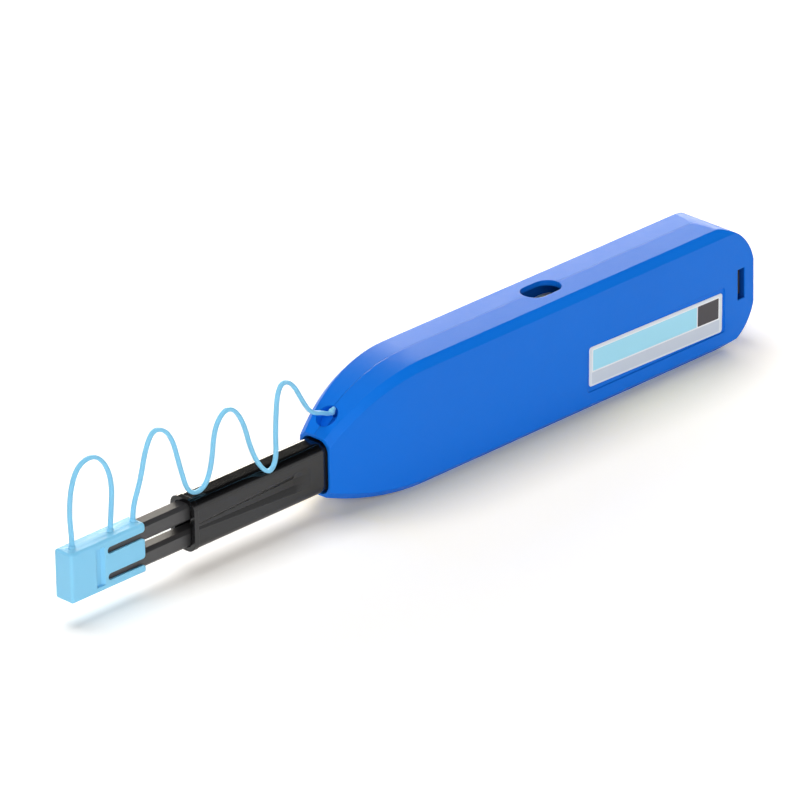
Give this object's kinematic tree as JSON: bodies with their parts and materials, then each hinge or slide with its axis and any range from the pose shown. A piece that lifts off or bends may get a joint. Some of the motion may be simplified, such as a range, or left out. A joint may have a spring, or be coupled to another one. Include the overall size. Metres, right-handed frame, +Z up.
{
  "type": "fibre connector cleaning pen",
  "caption": "Push-to-clean pen for duplex fibre connectors: boxy two-shell body, sliding twin-prong nose, and a tethered dust cap with a carry loop.",
  "frame": {"origin": "centre of the flat underside that the pen rests on, midway between its sides", "axes": "+X from the capped nose to the rear end, +Z up, -Y towards the labelled side"},
  "size_m": [0.2081, 0.0164, 0.0372],
  "materials": {
    "housing": "blue moulded plastic, fine satin grain",
    "label": "printed film label, semi-matt, no text",
    "steel": "ground steel",
    "spring_steel": "drawn spring wire",
    "chassis": "black moulded plastic",
    "sleeve": "black moulded plastic, smooth",
    "prongs": "dark grey moulded plastic",
    "cap": "light blue soft plastic, slightly translucent",
    "gear": "natural white acetal",
    "thread": "white microfibre cleaning thread",
    "tips": "natural white plastic"
  },
  "bodies": {
    "housing": {"shell_near": "housing", "shell_far": "housing", "label": "label", "frame": "chassis", "supply_axle": "steel", "take_up_axle": "steel", "brake_washer": "steel"},
    "nose": {"sleeve": "sleeve", "prong_upper": "prongs", "prong_lower": "prongs", "carriage": "chassis", "return_spring": "spring_steel", "tip_spring_upper": "spring_steel", "tip_spring_lower": "spring_steel"},
    "cap": {"cap": "cap", "tether": "cap"},
    "pinion": {"drive_pinion": "gear", "clutch_spring": "spring_steel"},
    "take_up": {"take_up_reel": "gear", "take_up_thread": "thread"},
    "supply": {"supply_reel": "gear", "supply_thread": "thread"},
    "tip_upper": {"tip_upper": "tips", "tip_thread_upper": "thread"},
    "tip_lower": {"tip_lower": "tips", "tip_thread_lower": "thread"}
  },
  "joints": [
    {"name": "nose_slide", "type": "slide", "parent": "housing", "child": "nose", "axis": [1, 0, 0], "range_m": [0, 0.012], "stiffness_N_per_m": 300, "springref_m": -0.01, "deforming": ["return_spring", "tether"]},
    {"name": "cap_slide", "type": "slide", "parent": "nose", "child": "cap", "axis": [-1, 0, 0], "range_m": [0, 0.024], "deforming": ["tether"]},
    {"name": "pinion_spin", "type": "hinge", "parent": "housing", "child": "pinion", "pos_m": [0.0195, 0, 0.0161], "axis": [0, 1, 0], "range_deg": [-108, 1]},
    {"name": "take_up_spin", "type": "hinge", "parent": "housing", "child": "take_up", "pos_m": [0.0195, 0, 0.0161], "axis": [0, 1, 0], "range_deg": [-108, 1]},
    {"name": "supply_spin", "type": "hinge", "parent": "housing", "child": "supply", "pos_m": [0.0018, 0, 0.0161], "axis": [0, 1, 0], "range_deg": [-61, 1]},
    {"name": "tip_upper_slide", "type": "slide", "parent": "nose", "child": "tip_upper", "axis": [1, 0, 0], "range_m": [0, 0.0015], "stiffness_N_per_m": 500, "springref_m": -0.001, "deforming": ["tip_spring_upper"]},
    {"name": "tip_lower_slide", "type": "slide", "parent": "nose", "child": "tip_lower", "axis": [1, 0, 0], "range_m": [0, 0.0015], "stiffness_N_per_m": 500, "springref_m": -0.001, "deforming": ["tip_spring_lower"]}
  ],
  "couplings": [
    {"joint": "pinion_spin", "follows": "nose_slide", "rad_per_m": -156.25},
    {"joint": "take_up_spin", "follows": "nose_slide", "rad_per_m": -156.25},
    {"joint": "supply_spin", "follows": "nose_slide", "rad_per_m": -87.65}
  ]
}
